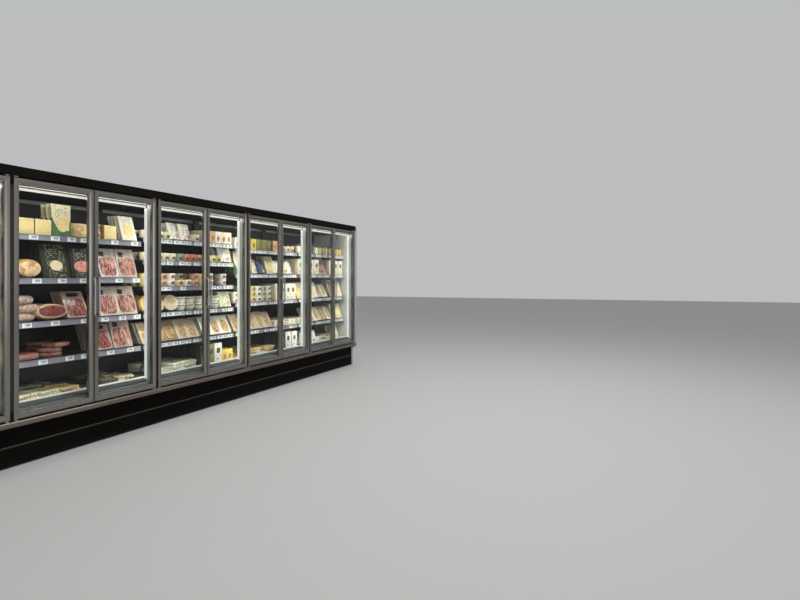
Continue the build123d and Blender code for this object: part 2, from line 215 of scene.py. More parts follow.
# Cloudy tone: soft patches with a finer grain in them, for paint, zinc and plastic.
fine_share = 0.35
cloud_group, given, result = socket_group(
    "cloudy_tone", {"Place": (0, 0, 0), "Scale": 5.0, "Grain": 8.0}, {"Mask": "NodeSocketFloat"}
)
patches = grain_of(cloud_group, given["Place"], given["Scale"], 4.0)
finer_scale = reckon(cloud_group, "MULTIPLY", given["Scale"], given["Grain"])
finer = grain_of(cloud_group, given["Place"], finer_scale, 2.0)
both = reckon(cloud_group, "MULTIPLY_ADD", finer, fine_share, patches)
feed(cloud_group, result, Mask=map_range(cloud_group, both, (0.48, 0.86)))

# Coat skin: the faint orange peel of powder coat and moulded plastic, as a normal.
peel_depth = 0.0005
skin_group, given, result = socket_group(
    "coat_skin", {"Place": (0, 0, 0), "Scale": 600.0, "Height": 0.1}, {"Normal": "NodeSocketVector"}
)
peel = grain_of(skin_group, given["Place"], given["Scale"], 1.0)
feed(skin_group, result, Normal=bumps_of(skin_group, peel, given["Height"], peel_depth))

# Brush lines: fine scratches drawn out along one axis, as a mask and a normal.
scratch_depth = 0.0003
brush_group, given, result = socket_group(
    "brush_lines",
    {"Place": (0, 0, 0), "Stretch": (1.0, 1.0, 1.0), "Height": 0.1},
    {"Mask": "NodeSocketFloat", "Normal": "NodeSocketVector"},
)
drawn_out = reckon_places(brush_group, "MULTIPLY", given["Place"], given["Stretch"])
scratches = grain_of(brush_group, drawn_out, 1.0, 5.0, Roughness=0.65)
feed(
    brush_group, result,
    Mask=map_range(brush_group, scratches, (0.3, 0.7)),
    Normal=bumps_of(brush_group, scratches, given["Height"], scratch_depth),
)

# Floor dirt: dust and mop splashes that fade out upwards from the floor, to a ragged height of
# about the reach.
dirt_group, given, result = socket_group(
    "floor_dirt", {"Place": (0, 0, 0), "Reach": 0.12}, {"Mask": "NodeSocketFloat"}
)
height_above_floor = split_place(dirt_group, given["Place"])["Z"]
splash = grain_of(dirt_group, given["Place"], 24.0, 6.0)
half_reach = reckon(dirt_group, "MULTIPLY", splash, given["Reach"])
ragged_reach = reckon(dirt_group, "MULTIPLY", half_reach, 2.0)
feed(dirt_group, result, Mask=map_range(dirt_group, height_above_floor, (ragged_reach, 0.0)))


def blank_finish(name):
    """A new material, its node tree, its shader's sockets and the object's own coordinates."""
    finish = bpy.data.materials.new(name)
    finish.use_nodes = True
    tree = finish.node_tree
    place = tree.nodes.new("ShaderNodeTexCoord").outputs["Object"]
    return finish, tree, tree.nodes["Principled BSDF"].inputs, place


def place_group(tree, group, **inputs):
    """What one of the shared effects puts out, placed in a material with its own values."""
    return add_node(tree, "ShaderNodeGroup", settings={"node_tree": group}, **inputs).outputs


def two_tones(tree, mask, *tones):
    """A colour that runs from one tone to another with a mask. A tone can be a socket too."""
    mix = add_node(tree, "ShaderNodeMix", mask, settings={"data_type": "RGBA"})
    for socket, tone in zip(mix.inputs[6:8], tones):
        connect(tree, socket, tone if isinstance(tone, bpy.types.NodeSocket) else (*tone, 1))
    return mix.outputs[2]


def brushed_metal(name, first, second, stretch, roughness, scratch=0.12, metallic=1.0):
    """Brushed or drawn metal: two tones along the grain, and a sheen that follows it."""
    finish, tree, shader, place = blank_finish(name)
    grain = place_group(tree, brush_group, Place=place, Stretch=stretch, Height=scratch)
    marks = place_group(tree, cloud_group, Place=place, Scale=3.0, Grain=9.0)["Mask"]
    tone = reckon(tree, "MULTIPLY", grain["Mask"], marks)
    feed(
        tree, shader, Base_Color=two_tones(tree, tone, first, second),
        Roughness=map_range(tree, tone, target=roughness), Normal=grain["Normal"], Metallic=metallic,
    )
    return finish


def coated_steel(name, first, second, roughness, peel=0.12, cloud=2.5, dirt=None, glint=0.5):
    """Powder-coated sheet: cloudy tone, orange peel, and dirt near the floor if asked.

    dirt is its colour and how high it reaches, and glint how much the coat mirrors.
    """
    finish, tree, shader, place = blank_finish(name)
    mask = place_group(tree, cloud_group, Place=place, Scale=cloud, Grain=12.0)["Mask"]
    colour = two_tones(tree, mask, first, second)
    if dirt:
        dirt_colour, reach = dirt
        dirty = place_group(tree, dirt_group, Place=place, Reach=reach)["Mask"]
        colour = two_tones(tree, dirty, colour, dirt_colour)
    feed(
        tree, shader, Base_Color=colour, Roughness=map_range(tree, mask, target=roughness),
        Normal=place_group(tree, skin_group, Place=place, Height=peel)["Normal"], Specular_IOR_Level=glint,
    )
    return finish


def dress(finish, *nodes):
    """Give the CAD's pieces their finish."""
    for node in nodes:
        piece = frame["nodes"][node]
        piece.data.materials.clear()
        piece.data.materials.append(finish)


dress(
    brushed_metal(
        "galvanised_steel", (0.40, 0.41, 0.42), (0.58, 0.59, 0.60),
        stretch=(30, 30, 30), roughness=(0.42, 0.62), scratch=0.05,
    ),
    "base_stands",
)

# Kick panels. Folded steel, powder coated nearly black, screwed to the stands in one length
# a bay. The black is darker than the coat itself: painted shade of the recess under the sill.
# Mop splashes and shoe dust lighten the lowest few centimetres.
dress(
    coated_steel(
        "kick_black", (0.0025, 0.0022, 0.0018), (0.005, 0.0042, 0.0034),
        roughness=(0.50, 0.65), dirt=((0.010, 0.0085, 0.007), 0.05), glint=0.03,
    ),
    "kick_panels",
)

# Kick trim. A narrow dull metal strip that covers the joint between the two boards of each
# kick panel, pressed into its groove.
trim_lap = 0.0035
trim_proud = 0.0012
trim_depth = 0.004
trim_edge = 0.0008
kick_heights = sorted({round(corner.co.z, 4) for corner in frame["nodes"]["kick_panels"].data.vertices})
groove_bottom, groove_top = kick_heights[1:3]
kick_low, kick_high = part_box("kick_panels")


def new_slab(name, low, high):
    """A cube stretched to fill the space between two corners, its place in its mesh."""
    bpy.ops.object.select_all(action="DESELECT")
    middle = [(a + b) / 2 for a, b in zip(low, high)]
    bpy.ops.mesh.primitive_cube_add(size=1, location=middle)
    piece = bpy.context.object
    piece.name = name
    piece.scale = [b - a for a, b in zip(low, high)]
    bpy.ops.object.transform_apply(location=True, rotation=True, scale=True)
    return piece


def apply_bevel(piece, width, segments=2):
    """Round every edge sharper than 30 degrees."""
    bevel = piece.modifiers.new("edges", "BEVEL")
    bevel.width = width
    bevel.segments = segments
    bevel.limit_method = "ANGLE"
    bpy.context.view_layer.objects.active = piece
    bpy.ops.object.modifier_apply(modifier="edges")


kick_trim = new_slab(
    "kick_trim",
    (kick_low.x, kick_low.y - trim_proud, groove_bottom - trim_lap),
    (kick_high.x, kick_low.y + trim_depth, groove_top + trim_lap),
)
apply_bevel(kick_trim, trim_edge, segments=1)
kick_trim.data.materials.append(brushed_metal(
    "trim_metal", (0.035, 0.031, 0.026), (0.055, 0.050, 0.042),
    stretch=(1.5, 200, 200), roughness=(0.4, 0.55), scratch=0.08, metallic=0.5,
))
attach(kick_trim, "root")

# Sill rail. One rolled length of brushed stainless steel under the doors, with a round nose
# that takes the knocks of trolleys. It is brushed along the row. Its brown tone is a painted
# reflection of a wooden floor.
dress(
    brushed_metal(
        "sill_stainless", (0.17, 0.145, 0.122), (0.26, 0.225, 0.192),
        stretch=(1.5, 260, 260), roughness=(0.34, 0.48),
    ),
    "sill_rail",
)

# Shell. The floor tub, back wall and roof are foam between grey coated sheets. The end walls
# close the row in the same way, in a lighter grey, palest on their inner faces.
dress(
    coated_steel(
        "wall_grey", (0.30, 0.31, 0.31), (0.36, 0.37, 0.37), roughness=(0.42, 0.55), peel=0.18, cloud=1.2
    ),
    "back_wall", "roof_panel", "tub_floor",
)
inner_face_grey = (0.50, 0.53, 0.53)
inner_face_margin = 0.0005
end_finish = coated_steel(
    "end_wall_grey", (0.34, 0.33, 0.30), (0.40, 0.39, 0.36),
    roughness=(0.34, 0.46), cloud=1.5, dirt=((0.25, 0.23, 0.20), 0.06),
)
end_tree = end_finish.node_tree
end_colour = end_tree.nodes["Principled BSDF"].inputs["Base Color"]
end_x = split_place(end_tree, end_tree.nodes["Texture Coordinate"].outputs["Object"])["X"]
row_end_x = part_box("back_wall")[1].x + inner_face_margin
inside_row = reckon(end_tree, "LESS_THAN", reckon(end_tree, "ABSOLUTE", end_x), row_end_x)
end_coat = end_colour.links[0].from_socket
connect(end_tree, end_colour, two_tones(end_tree, inside_row, end_coat, inner_face_grey))
dress(end_finish, "end_walls")

# Header fascia. A channel of folded steel along the top of the row, screwed to the roof, in
# nearly the same dark brown-black coat as the kick panels.
dress(
    coated_steel(
        "header_brown_black", (0.0045, 0.0035, 0.0024), (0.008, 0.0062, 0.0042),
        roughness=(0.50, 0.65), glint=0.03,
    ),
    "header_fascia",
)

# Door portal. Extruded aluminium posts and rails, screwed to the shell, the posts satin
# anodised. The rails' darker grey is painted shade, standing for the shade they lie in under
# the header and canopy. The doors' seals close against their faces.
dress(
    brushed_metal(
        "portal_aluminium", (0.40, 0.435, 0.445), (0.47, 0.505, 0.51),
        stretch=(60, 60, 2), roughness=(0.42, 0.52), scratch=0.03, metallic=0.25,
    ),
    "portal_posts",
)
# The rails' dark grey is painted shade.
dress(
    coated_steel(
        "portal_rail_painted_shade_grey", (0.10, 0.10, 0.098), (0.14, 0.14, 0.136), roughness=(0.35, 0.48), peel=0.08
    ),
    "portal_rails",
)

# Canopy and rear duct. Folded sheet in a black coat, screwed under the roof and in front of
# the back wall, which hides the coil and the fans and leads the cold air round. The duct
# panels' black is darker than the coat's own: painted shade for the shade under the shelves.
dress(
    coated_steel(
        "liner_black", (0.006, 0.0070, 0.0072), (0.012, 0.0135, 0.0145),
        roughness=(0.40, 0.60), peel=0.2, glint=0.3,
    ),
    "duct_panels",
)
dress(
    coated_steel(
        "canopy_black", (0.006, 0.0066, 0.0066), (0.012, 0.013, 0.013),
        roughness=(0.5, 0.65), peel=0.2, glint=0.15,
    ),
    "canopy_liner",
)

# Deck trays and their front lips. Grey coated trays lie over the tub, and a plastic lip, grey
# with a white strip along its top, keeps the lowest goods back from the return-air slots.
dress(
    coated_steel(
        "deck_grey", (0.050, 0.056, 0.056), (0.075, 0.083, 0.082), roughness=(0.40, 0.55), glint=0.2
    ),
    "deck_trays",
)
lip_strip_height = 0.014
lip_finish, lip_tree, lip_shader, lip_place = blank_finish("deck_lip_white")
lip_cloud = place_group(lip_tree, cloud_group, Place=lip_place, Scale=2.5, Grain=12.0)["Mask"]
strip_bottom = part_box("deck_lips")[1].z - lip_strip_height
on_strip = reckon(lip_tree, "GREATER_THAN", split_place(lip_tree, lip_place)["Z"], strip_bottom)
lip_grey = two_tones(lip_tree, lip_cloud, (0.085, 0.092, 0.088), (0.12, 0.128, 0.122))
lip_white = two_tones(lip_tree, lip_cloud, (0.70, 0.69, 0.64), (0.78, 0.77, 0.72))
feed(
    lip_tree, lip_shader, Base_Color=two_tones(lip_tree, on_strip, lip_grey, lip_white),
    Roughness=map_range(lip_tree, lip_cloud, target=(0.30, 0.42)),
)
dress(lip_finish, "deck_lips")

# Shelving. Slotted uprights screwed to the duct panels, brackets of thick sheet hooked into
# their slots, and folded shelves laid on the brackets, all steel in a black powder coat. The
# black is darker than the coat's own: painted shade for the shade under the shelves.
dress(
    coated_steel(
        "shelf_black", (0.006, 0.0068, 0.0076), (0.012, 0.013, 0.0145),
        roughness=(0.34, 0.50), peel=0.15, glint=0.3,
    ),
    "shelf_uprights", "shelf_brackets", "shelves",
)

# Price rails. Extruded plastic in a cool grey, clipped along the front of each shelf, with
# turned-in lips above and below that hold the tags.
dress(
    coated_steel(
        "price_rail_grey", (0.175, 0.172, 0.215), (0.225, 0.222, 0.268), roughness=(0.28, 0.38), peel=0.04
    ),
    "price_rails",
)

# Lamps. Opal plastic tubes lit from inside, one under each canopy in a dark holder, and one up
# each side of each post. The glow that is seen in them is softer than the light they give.
tube_drop, tube_reach = 0.0135, 0.0085
holder_drop, holder_reach = 0.001, 0.004
no_light = (0, 0, 0)
lamp_glow, lamp_tree, lamp_shader, lamp_place = blank_finish("lamp_white")
lamp_cloud = place_group(lamp_tree, cloud_group, Place=lamp_place, Scale=14.0, Grain=4.0)["Mask"]
lamp_z = split_place(lamp_tree, lamp_place)["Z"]
canopy_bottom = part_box("canopy_liner")[0].z
under_canopy = reckon(lamp_tree, "COMPARE", lamp_z, canopy_bottom - tube_drop, tube_reach)
holder = reckon(lamp_tree, "COMPARE", lamp_z, canopy_bottom - holder_drop, holder_reach)


def lamp_colour(mask, first, second, holder_tone):
    """Two tones by a mask, and another on the holders."""
    return two_tones(lamp_tree, holder, two_tones(lamp_tree, mask, first, second), holder_tone)


def swap_shader(tree, mask, other):
    """Put another shader in the place of the finish's own where the mask is 1."""
    own = tree.nodes["Principled BSDF"].outputs["BSDF"]
    mix = add_node(tree, "ShaderNodeMixShader", mask, own, other.outputs["BSDF"])
    tree.links.new(mix.outputs[0], tree.nodes["Material Output"].inputs["Surface"])


feed(
    lamp_tree, lamp_shader,
    Base_Color=two_tones(lamp_tree, lamp_cloud, (0.78, 0.80, 0.78), (0.84, 0.86, 0.84)),
    Emission_Color=lamp_colour(under_canopy, (0.37, 0.357, 0.305), (1.0, 0.945, 0.79), no_light),
    Emission_Strength=8.0, Roughness=0.35,
)
seen_lamp = add_node(
    lamp_tree, "ShaderNodeBsdfPrincipled",
    Base_Color=lamp_colour(lamp_cloud, (0.40, 0.42, 0.42), (0.46, 0.48, 0.48), (0.03, 0.033, 0.032)),
    Emission_Color=lamp_colour(under_canopy, (0.44, 0.47, 0.46), (0.60, 0.59, 0.53), no_light),
    Emission_Strength=1.0, Roughness=0.35,
)
lamp_rays = add_node(lamp_tree, "ShaderNodeLightPath").outputs
looked_at = reckon(lamp_tree, "MAXIMUM", lamp_rays["Is Camera Ray"], lamp_rays["Is Transmission Ray"])
swap_shader(lamp_tree, looked_at, seen_lamp)
dress(lamp_glow, "lamps")

# Hinge brackets. Laser-cut stainless plates with a turned pin pressed in, screwed under the
# header and on the sill rail at each door's hinge side.
dress(
    brushed_metal(
        "hinge_steel", (0.50, 0.50, 0.49), (0.68, 0.68, 0.66),
        stretch=(90, 90, 90), roughness=(0.25, 0.40), scratch=0.1,
    ),
    "hinge_brackets",
)

# Door frames. Satin anodised aluminium profiles, mitred and screwed at the corners, drawn
# along their length. The same finish is on all ten. Its dark brownish grey is partly painted:
# painted shade from the header above, and a painted reflection of warm brown surroundings.
doors = [body for body in frame["bodies"] if body.endswith("_door")]
dress(
    brushed_metal(
        "door_aluminium", (0.235, 0.218, 0.195), (0.263, 0.245, 0.221),
        stretch=(70, 70, 50), roughness=(0.24, 0.30), scratch=0.006,
    ),
    *[f"{door}_frame" for door in doors],
)

# Door handles. Bright drawn stainless steel pulls with a foot at each end, bolted through the
# stile away from the hinge.
dress(
    brushed_metal(
        "handle_steel", (0.60, 0.61, 0.63), (0.78, 0.79, 0.81),
        stretch=(200, 200, 4), roughness=(0.18, 0.30),
    ),
    *[f"{door}_handle" for door in doors],
)

# Door glass. Two toughened panes with polished edges, held apart by a bar all round and set
# in the frame's groove. Light passes straight through them, with a faint green in the glass.


def join_pieces(name, pieces):
    """Join several meshes into one object."""
    bpy.ops.object.select_all(action="DESELECT")
    for piece in pieces:
        piece.select_set(True)
    bpy.context.view_layer.objects.active = pieces[0]
    bpy.ops.object.join()
    pieces[0].name = name
    pieces[0].data.name = name
    return pieces[0]


def moved_copy(piece, matrix):
    """A copy with a mesh of its own, moved in its mesh."""
    copy = piece.copy()
    copy.data = piece.data.copy()
    copy.data.transform(matrix)
    scene.collection.objects.link(copy)
    return copy


def hang_on_doors(model, what):
    """Copy a piece made for the first left-hand door to all ten, each riding on its door."""
    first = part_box("bay_1_left_door_frame")[0]
    copies = {}
    for door in doors:
        copy = moved_copy(model, Matrix.Translation(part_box(f"{door}_frame")[0] - first))
        copy.name = f"{door}_{what}"
        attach(copy, door)
        copies[door] = copy
    bpy.data.objects.remove(model)
    return copies


pane_thickness = 0.004
pane_edge = 0.0006
glass_bend = 1.13
glass_low, glass_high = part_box("bay_1_left_door_glass")
clear_glass, glass_tree, glass_shader, glass_place = blank_finish("door_glass")
glass_smear = place_group(glass_tree, cloud_group, Place=glass_place, Scale=4.0, Grain=6.0)["Mask"]
feed(
    glass_tree, glass_shader,
    Base_Color=two_tones(glass_tree, glass_smear, (0.980, 0.989, 0.980), (0.990, 0.995, 0.989)),
    Roughness=map_range(glass_tree, glass_smear, target=(0.0, 0.02)),
    Transmission_Weight=1.0, IOR=glass_bend,
)
see_through = add_node(glass_tree, "ShaderNodeBsdfTransparent", Color=(0.976, 0.980, 0.968, 1))
swap_shader(glass_tree, add_node(glass_tree, "ShaderNodeLightPath").outputs["Is Shadow Ray"], see_through)

outer_pane = new_slab("outer_pane", glass_low, (glass_high.x, glass_low.y + pane_thickness, glass_high.z))
inner_pane = new_slab("inner_pane", (glass_low.x, glass_high.y - pane_thickness, glass_low.z), glass_high)
for pane in (outer_pane, inner_pane):
    apply_bevel(pane, pane_edge, segments=1)
panes = join_pieces("panes", [outer_pane, inner_pane])
panes.data.materials.append(clear_glass)
for door, piece in hang_on_doors(panes, "panes").items():
    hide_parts(f"{door}_glass")

# Spacer bars. A satin aluminium bar, bent at the corners, seals the gap between the panes.
# Its inner face shows as a fine line all round the view into the case.
spacer_width = 0.0165
spacer_edge = 0.0008


def new_ring(name, low, high, width, edge, segments=2):
    """An upright rectangular ring: a plane inset, opened and drawn out to its depth."""
    bpy.ops.object.select_all(action="DESELECT")
    middle = ((low[0] + high[0]) / 2, low[1], (low[2] + high[2]) / 2)
    bpy.ops.mesh.primitive_plane_add(size=1, location=middle, rotation=(math.radians(90), 0, 0))
    ring = bpy.context.object
    ring.name = name
    ring.scale = (high[0] - low[0], high[2] - low[2], 1)
    bpy.ops.object.transform_apply(location=True, rotation=True, scale=True)
    bpy.ops.object.mode_set(mode="EDIT")
    bpy.ops.mesh.select_all(action="SELECT")
    bpy.ops.mesh.inset(thickness=width)
    bpy.ops.mesh.delete(type="FACE")
    bpy.ops.mesh.select_all(action="SELECT")
    bpy.ops.mesh.extrude_region_move(TRANSFORM_OT_translate={"value": (0, high[1] - low[1], 0)})
    bpy.ops.mesh.select_all(action="SELECT")
    bpy.ops.mesh.normals_make_consistent(inside=False)
    bpy.ops.object.mode_set(mode="OBJECT")
    apply_bevel(ring, edge, segments)
    return ring


spacer = new_ring(
    "spacer",
    (glass_low.x, glass_low.y + pane_thickness, glass_low.z),
    (glass_high.x, glass_high.y - pane_thickness, glass_high.z),
    spacer_width, spacer_edge, segments=1,
)
spacer.data.materials.append(brushed_metal(
    "spacer_aluminium", (0.26, 0.265, 0.26), (0.32, 0.325, 0.32),
    stretch=(120, 120, 120), roughness=(0.3, 0.4), scratch=0.05,
))
hang_on_doors(spacer, "spacer_bar")

# Door seals. A soft black magnetic profile pushed into the back of each door frame, which
# closes the gap to the portal.
seal_setback = 0.008
seal_width = 0.014
seal_edge = 0.0024
seal_clearance = 0.0004
frame_low, frame_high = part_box("bay_1_left_door_frame")
portal_front_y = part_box("portal_posts")[0].y
seal = new_ring(
    "seal",
    (frame_low.x + seal_setback, frame_high.y, frame_low.z + seal_setback),
    (frame_high.x - seal_setback, portal_front_y - seal_clearance, frame_high.z - seal_setback),
    seal_width, seal_edge, segments=3,
)
seal.data.materials.append(coated_steel(
    "seal_rubber", (0.012, 0.012, 0.012), (0.022, 0.022, 0.022), roughness=(0.55, 0.7), peel=0.3, cloud=9.0
))
hang_on_doors(seal, "seal")

# Air curtain honeycomb. Thin upright plastic vanes stand side by side in the raised slot of
# each canopy and straighten the cold air that falls behind the doors. Their near-black colour
# is painted shade, which hides the light on their sides in the slot.
slot_setback = 0.044
slot_width = 0.040
vane_height = 0.012
vane_pitch = 0.0125
vane_thickness = 0.0008
vane_end_gap = 0.01
canopy_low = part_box("canopy_liner")[0]
vane_front_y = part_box("portal_posts")[1].y + slot_setback
bays = range(1, len(doors) // 2 + 1)


def bay_span(bay):
    """X of the outer edges of a bay's two doors."""
    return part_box(f"bay_{bay}_left_door_frame")[0].x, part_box(f"bay_{bay}_right_door_frame")[1].x


# Near black: painted shade of the canopy slot.
vane_finish = coated_steel(
    "vane_painted_shade_black", (0.005, 0.0055, 0.0055), (0.009, 0.010, 0.010),
    roughness=(0.5, 0.65), peel=0.05, cloud=8.0, glint=0.1,
)
for bay in bays:
    low, high = bay_span(bay)
    vanes = new_slab(
        f"bay_{bay}_air_honeycomb",
        (low + vane_end_gap, vane_front_y, canopy_low.z),
        (low + vane_end_gap + vane_thickness, vane_front_y + slot_width, canopy_low.z + vane_height),
    )
    repeat = vanes.modifiers.new("repeat", "ARRAY")
    repeat.use_relative_offset = False
    repeat.use_constant_offset = True
    repeat.constant_offset_displace = (vane_pitch, 0, 0)
    repeat.count = int((high - low - 2 * vane_end_gap) / vane_pitch)
    bpy.ops.object.modifier_apply(modifier="repeat")
    vanes.data.materials.append(vane_finish)
    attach(vanes, "root")

# Price tags. Small printed cards, slid into the price rails, several to a shelf. Their print
# is only plain marks, without words or figures.
tag_width, tag_thickness, tag_height = 0.070, 0.0012, 0.034
tag_edge = 0.0004
tag_groove = 0.0066
tag_foot = 0.004
tag_play = 0.012
rail_front_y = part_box("price_rails")[0].y
rail_height = 0.042
rail_rise = 0.002
rail_overlap = 0.010
chance = random.Random(7)


def shelf_tops(bay):
    """Heights of a bay's shelves, read from its price rails in the frame, lowest first."""
    low, high = bay_span(bay)
    low, high = low - rail_overlap, high + rail_overlap
    corners = [corner.co for corner in frame["nodes"]["price_rails"].data.vertices]
    heights = sorted({round(corner.z, 4) for corner in corners if low < corner.x < high})
    tops = [z for z, above in zip(heights, heights[1:] + [math.inf]) if above - z > rail_height]
    return [top - rail_rise for top in tops]


def map_front(piece):
    """Lay the piece's UV map over its front: across, and from the bottom up."""
    mesh = piece.data
    layer = mesh.uv_layers.active or mesh.uv_layers.new()
    layer.name = "UVMap"
    low = [min(vertex.co[axis] for vertex in mesh.vertices) for axis in range(3)]
    high = [max(vertex.co[axis] for vertex in mesh.vertices) for axis in range(3)]
    for loop in mesh.loops:
        place = mesh.vertices[loop.vertex_index].co
        layer.data[loop.index].uv = [(place[axis] - low[axis]) / (high[axis] - low[axis]) for axis in (0, 2)]


def tone_piece(piece, tone):
    """Write one value from 0 to 1 on the whole piece, which its finish turns into a colour."""
    values = piece.data.attributes.get("tone") or piece.data.attributes.new("tone", "FLOAT", "POINT")
    values.data.foreach_set("value", [tone] * len(piece.data.vertices))


def set_out(name, places):
    """Copies of models at their places, joined into one piece that rides on the row."""
    copies = []
    for model, matrix, tone in places:
        copies.append(moved_copy(model, matrix))
        tone_piece(copies[-1], tone)
    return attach(join_pieces(name, copies), "root")


# Printed face: a window or label shape, and small marks in rows like print, all from the
# front's own map. A high squareness makes the window a rectangle, and 2 an oval.
word_scale = 1.3
word_gap = 0.52
row_fill = 0.55
print_half_width = 0.33
face_group, given, result = socket_group(
    "printed_face",
    {
        "Map": (0, 0, 0),
        "Centre": (0.5, 0.4, 0.0),
        "Half Size": (0.35, 0.3, 1.0),
        "Squareness": 6.0,
        "Marks": (11.0, 17.0, 1.0),
    },
    {"Window": "NodeSocketFloat", "Print": "NodeSocketFloat"},
)
from_centre = reckon_places(face_group, "SUBTRACT", given["Map"], given["Centre"])
scaled = reckon_places(face_group, "DIVIDE", from_centre, given["Half Size"])
sides = split_place(face_group, reckon_places(face_group, "ABSOLUTE", scaled))
wide = reckon(face_group, "POWER", sides["X"], given["Squareness"])
tall = reckon(face_group, "POWER", sides["Y"], given["Squareness"])
feed(face_group, result, Window=map_range(face_group, reckon(face_group, "ADD", wide, tall), (1.05, 0.95)))
cell = split_place(face_group, reckon_places(face_group, "MULTIPLY", given["Map"], given["Marks"]))
row_number = reckon(face_group, "FLOOR", cell["Y"])
word_place = add_node(face_group, "ShaderNodeCombineXYZ", cell["X"], row_number).outputs[0]
word = reckon(face_group, "GREATER_THAN", grain_of(face_group, word_place, word_scale, 1.0), word_gap)
in_row = reckon(face_group, "LESS_THAN", reckon(face_group, "FRACT", cell["Y"]), row_fill)
in_middle = reckon(face_group, "COMPARE", split_place(face_group, given["Map"])["X"], 0.5, print_half_width)
words_in_rows = reckon(face_group, "MULTIPLY", word, in_row)
feed(face_group, result, Print=reckon(face_group, "MULTIPLY", words_in_rows, in_middle))


def printed_pack(
    name, grounds, contents, window, print_tone, squareness=6.0, film=0.3, roughness=0.35, swirl=5.0,
    foot=None, side=None, mark=None, glint=0.4, marks=(11.0, 17.0), spread=(-0.9, 1.9), drawn=(1, 1, 1),
):
    """A pack's finish: its ground by tone, print, and a window on contents or a label.

    window is the centre and half size of what shows the contents, which are two colours. film
    is how much clear wrap lies over all, and swirl how fine the contents are patterned. foot is
    a coloured base (colour, height) with a hollowed upper edge, side the colour of its ends,
    mark a dark printed field (centre, half size), marks the number of print marks across and
    up, spread the contrast of the contents, and drawn how closely they lie along each axis.
    """
    print_strength = 0.85
    mark_squareness = 5.0
    mark_tone = (0.02, 0.02, 0.02)
    foot_bow = 2.0
    side_starts = 0.475
    roughness_play = 0.08
    swirl_scale = 8.0
    finish, tree, shader, place = blank_finish(name)
    front = tree.nodes["Texture Coordinate"].outputs["UV"]
    tone = add_node(tree, "ShaderNodeAttribute", settings={"attribute_name": "tone"}).outputs["Fac"]
    ramp = add_node(tree, "ShaderNodeValToRGB", tone)
    stops = ramp.color_ramp
    stops.interpolation = "CONSTANT"
    while len(stops.elements) < len(grounds):
        stops.elements.new(0.5)
    for number, ground in enumerate(grounds):
        stops.elements[number].position = number / len(grounds)
        stops.elements[number].color = (*ground, 1)
    colour = ramp.outputs["Color"]
    across = split_place(tree, front)
    off_middle = reckon(tree, "SUBTRACT", across["X"], 0.5)
    if foot:
        foot_colour, foot_height = foot
        bowed = reckon(tree, "MULTIPLY", off_middle, off_middle)
        foot_edge = reckon(tree, "MULTIPLY_ADD", bowed, foot_bow, foot_height)
        colour = two_tones(tree, reckon(tree, "LESS_THAN", across["Y"], foot_edge), colour, foot_colour)
    face = place_group(
        tree, face_group, Map=front, Centre=(*window[0], 0), Half_Size=(*window[1], 1),
        Squareness=squareness, Marks=(*marks, 1),
    )
    colour = two_tones(tree, reckon(tree, "MULTIPLY", face["Print"], print_strength), colour, print_tone)
    if mark:
        field = place_group(
            tree, face_group, Map=front, Centre=(*mark[0], 0), Half_Size=(*mark[1], 1),
            Squareness=mark_squareness,
        )
        colour = two_tones(tree, field["Window"], colour, mark_tone)
    drawn_place = reckon_places(tree, "MULTIPLY", place, drawn)
    grain = grain_of(tree, drawn_place, swirl * swirl_scale, 3.0, Distortion=1.2)
    filling = two_tones(tree, map_range(tree, grain, target=spread), *contents)
    colour = two_tones(tree, face["Window"], colour, filling)
    if side:
        on_side = reckon(tree, "GREATER_THAN", reckon(tree, "ABSOLUTE", off_middle), side_starts)
        colour = two_tones(tree, on_side, colour, side)
    crinkle = place_group(tree, skin_group, Place=place, Scale=90.0, Height=0.35)
    feed(
        tree, shader, Base_Color=colour,
        Roughness=map_range(tree, grain, target=(roughness - roughness_play, roughness + roughness_play)),
        Normal=crinkle["Normal"], Specular_IOR_Level=glint, Coat_Weight=film, Coat_Roughness=0.15,
    )
    return finish


tag = new_slab("tag", (-tag_width / 2, 0, 0), (tag_width / 2, tag_thickness, tag_height))
apply_bevel(tag, tag_edge, segments=1)
map_front(tag)
tag.data.materials.append(printed_pack(
    "tag_card", [(0.80, 0.82, 0.82), (0.74, 0.76, 0.78)], ((0.10, 0.11, 0.13), (0.45, 0.46, 0.48)),
    ((0.60, 0.52), (0.26, 0.22)), (0.16, 0.17, 0.20), film=0.0, roughness=0.5, swirl=40.0,
))
# Where the tags of a half bay stand, as parts of the bay's width. From bay 3 on they stand
# close together, with a place left out here and there.
usual_marks = [
    (0.05, 0.21, 0.34, 0.46), (0.05, 0.32, 0.46), (0.05, 0.27, 0.45), (0.05, 0.17, 0.34), (0.06, 0.24, 0.40)
]
close_marks = [0.045 + 0.068 * number for number in range(7)]
close_from_bay = 3
close_share = 0.85
for bay in bays:
    low, high = bay_span(bay)
    places = []
    for level, top in enumerate(shelf_tops(bay)):
        halves = [usual_marks[(level + bay + 2 * half) % len(usual_marks)] for half in range(2)]
        if bay >= close_from_bay:
            halves = [[mark for mark in close_marks if chance.random() < close_share] for half in range(2)]
        for mark in (*halves[0], *[0.5 + mark for mark in halves[1]]):
            x = low + mark * (high - low) + chance.uniform(-tag_play, tag_play)
            y = rail_front_y + tag_groove - tag_thickness
            z = top + rail_rise - rail_height + tag_foot
            places.append((tag, Matrix.Translation((x, y, z)), chance.random()))
    set_out(f"bay_{bay}_price_tags", places)
bpy.data.objects.remove(tag)

# Wrapped cheese. Blocks, wedges, loaves and round cheeses cut from the wheel, shrunk in clear
# film with a paper label, and stood up with the label to the front.
models = {}


def settle(piece):
    """Move a piece in its mesh to the middle across, its front at depth 0 and its foot at 0."""
    corners = [vertex.co for vertex in piece.data.vertices]
    low_x, low_y, low_z = [min(corner[axis] for corner in corners) for axis in range(3)]
    middle_x = (low_x + max(corner.x for corner in corners)) / 2
    piece.data.transform(Matrix.Translation((-middle_x, -low_y, -low_z)))
    piece.data.update()


